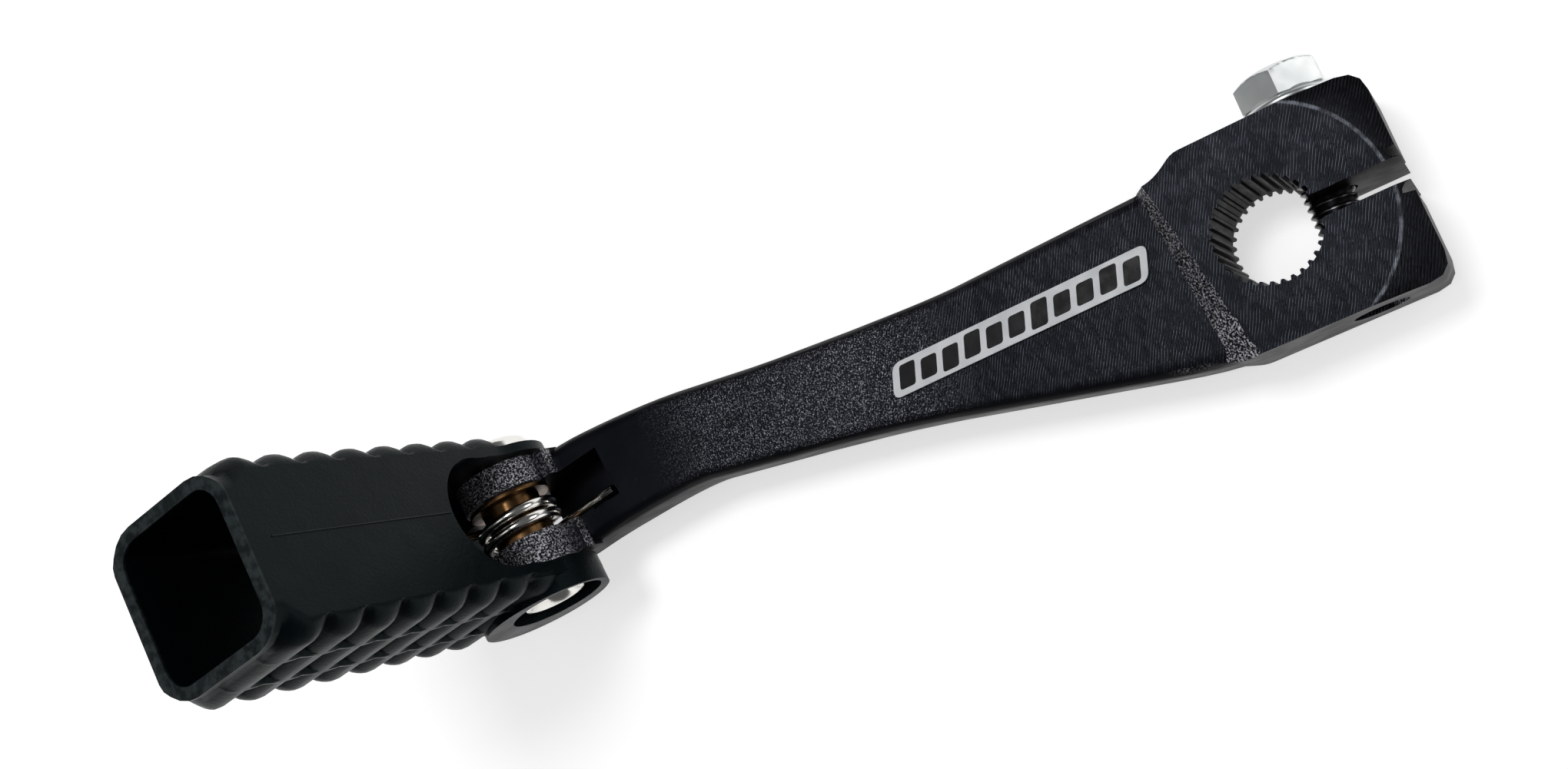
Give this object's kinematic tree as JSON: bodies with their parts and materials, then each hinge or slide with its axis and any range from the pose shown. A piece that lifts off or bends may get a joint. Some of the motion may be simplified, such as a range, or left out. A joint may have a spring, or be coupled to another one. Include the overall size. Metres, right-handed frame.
{
  "type": "gear shift lever",
  "caption": "Foot gear shift lever with a slit, splined clamp and pinch bolt, a flat tapering arm and a sprung folding toe peg.",
  "frame": {"origin": "axis of the splined bore, in the plane of the clamp's back face", "axes": "+Z runs along the shaft axis out of the clamp's front face, the arm reaches along -X, and the pinch bolt's head is on the +Y side"},
  "size_m": [0.1402, 0.0307, 0.069],
  "materials": {
    "anodised": "black anodised, satin, with machined faces",
    "cast": "black anodised casting, satin",
    "zinc": "bright zinc plated",
    "steel": "bright, pressed and turned",
    "bronze": "turned, oiled",
    "film": "printed film, satin"
  },
  "bodies": {
    "lever": {"lever_arm": "anodised", "pinch_bolt": "zinc", "pivot_bush": "bronze", "return_spring": "steel", "arm_decal": "film"},
    "toe": {"toe_peg": "cast", "pivot_rivet": "steel"}
  },
  "joints": [
    {"name": "toe_fold", "type": "hinge", "parent": "lever", "child": "toe", "pos_m": [-0.1054, 0.0056, 0.0157], "axis": [-0.1392, 0.9903, 0], "range_deg": [0, 60], "stiffness_Nm_per_rad": 0.12, "springref_deg": -20.05, "deforming": ["return_spring"]}
  ]
}
